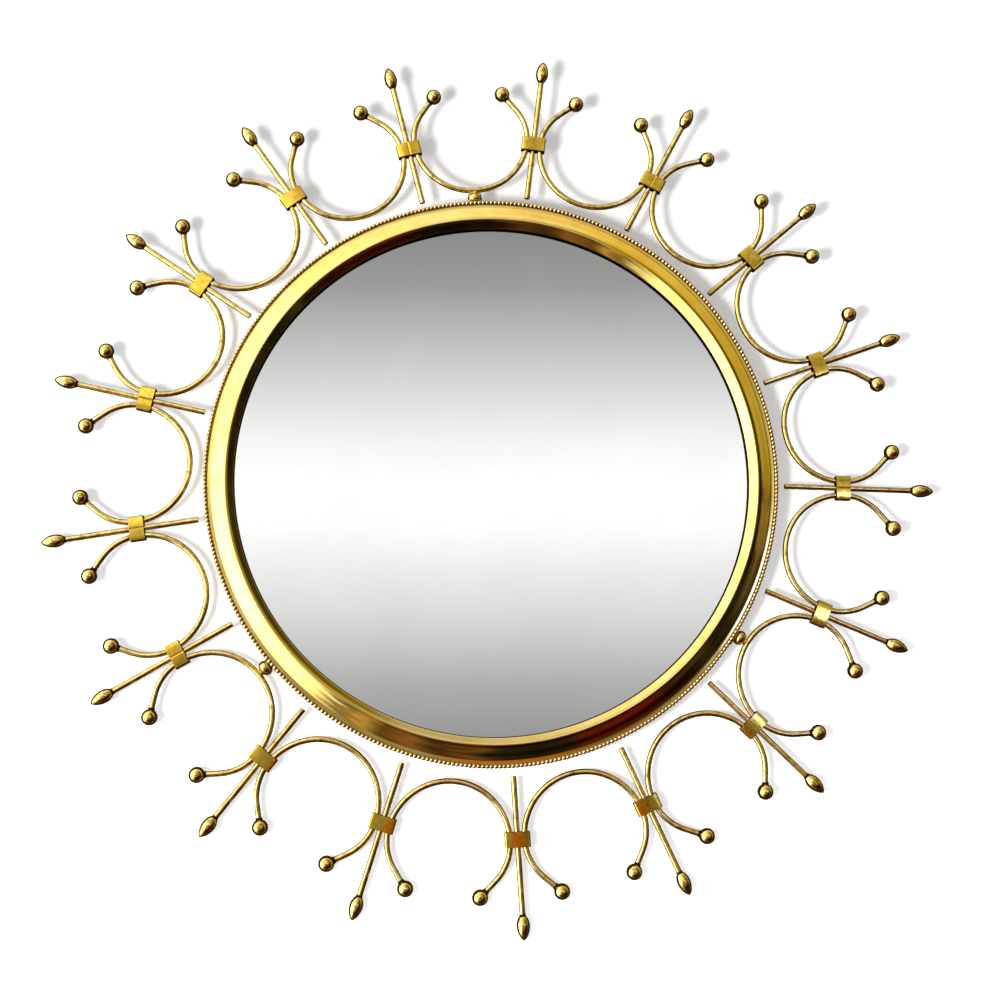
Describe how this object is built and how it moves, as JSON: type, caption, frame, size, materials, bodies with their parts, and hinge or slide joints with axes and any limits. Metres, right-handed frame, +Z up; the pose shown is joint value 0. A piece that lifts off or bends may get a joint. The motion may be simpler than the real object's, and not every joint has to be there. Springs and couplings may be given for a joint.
{
  "type": "girandole mirror",
  "caption": "Round wall mirror in a moulded brass ring with a beaded edge, ringed by a wreath of bent brass rods with ball and spear finials; swinging hanging ring behind.",
  "frame": {"origin": "centre of the back board's rear face", "axes": "+Z up, +Y out of the back towards the wall, the mirror faces -Y"},
  "size_m": [0.597, 0.0232, 0.5943],
  "materials": {
    "spun_brass": "polished",
    "beaded_brass": "polished, dark between the beads",
    "drawn_brass": "polished, lightly tarnished",
    "strap_brass": "satin",
    "hanger_brass": "dull, tarnished",
    "silvered_glass": "silvered plate glass",
    "hardboard": "bare hardboard"
  },
  "bodies": {
    "mirror": {"frame_ring": "spun_brass", "beaded_rim": "beaded_brass", "mirror_glass": "silvered_glass", "back_board": "hardboard", "hanger_bracket": "hanger_brass", "arch_01": "drawn_brass", "arch_02": "drawn_brass", "arch_03": "drawn_brass", "arch_04": "drawn_brass", "arch_05": "drawn_brass", "arch_06": "drawn_brass", "arch_07": "drawn_brass", "arch_08": "drawn_brass", "arch_09": "drawn_brass", "arch_10": "drawn_brass", "arch_11": "drawn_brass", "arch_12": "drawn_brass", "arch_13": "drawn_brass", "arch_14": "drawn_brass", "arch_15": "drawn_brass", "arch_16": "drawn_brass", "arch_17": "drawn_brass", "ray_01": "drawn_brass", "ray_02": "drawn_brass", "ray_03": "drawn_brass", "ray_04": "drawn_brass", "ray_05": "drawn_brass", "ray_06": "drawn_brass", "ray_07": "drawn_brass", "ray_08": "drawn_brass", "ray_09": "drawn_brass", "ray_10": "drawn_brass", "ray_11": "drawn_brass", "ray_12": "drawn_brass", "ray_13": "drawn_brass", "ray_14": "drawn_brass", "ray_15": "drawn_brass", "ray_16": "drawn_brass", "ray_17": "drawn_brass", "collar_01": "strap_brass", "collar_02": "strap_brass", "collar_03": "strap_brass", "collar_04": "strap_brass", "collar_05": "strap_brass", "collar_06": "strap_brass", "collar_07": "strap_brass", "collar_08": "strap_brass", "collar_09": "strap_brass", "collar_10": "strap_brass", "collar_11": "strap_brass", "collar_12": "strap_brass", "collar_13": "strap_brass", "collar_14": "strap_brass", "collar_15": "strap_brass", "collar_16": "strap_brass", "collar_17": "strap_brass", "standoff_1": "drawn_brass", "standoff_2": "drawn_brass", "standoff_3": "drawn_brass"},
    "ring": {"hanging_ring": "hanger_brass"}
  },
  "joints": [
    {"name": "ring_swing", "type": "hinge", "parent": "mirror", "child": "ring", "pos_m": [0, 0.0033, 0.12], "axis": [1, 0, 0], "range_deg": [-4, 184]}
  ]
}
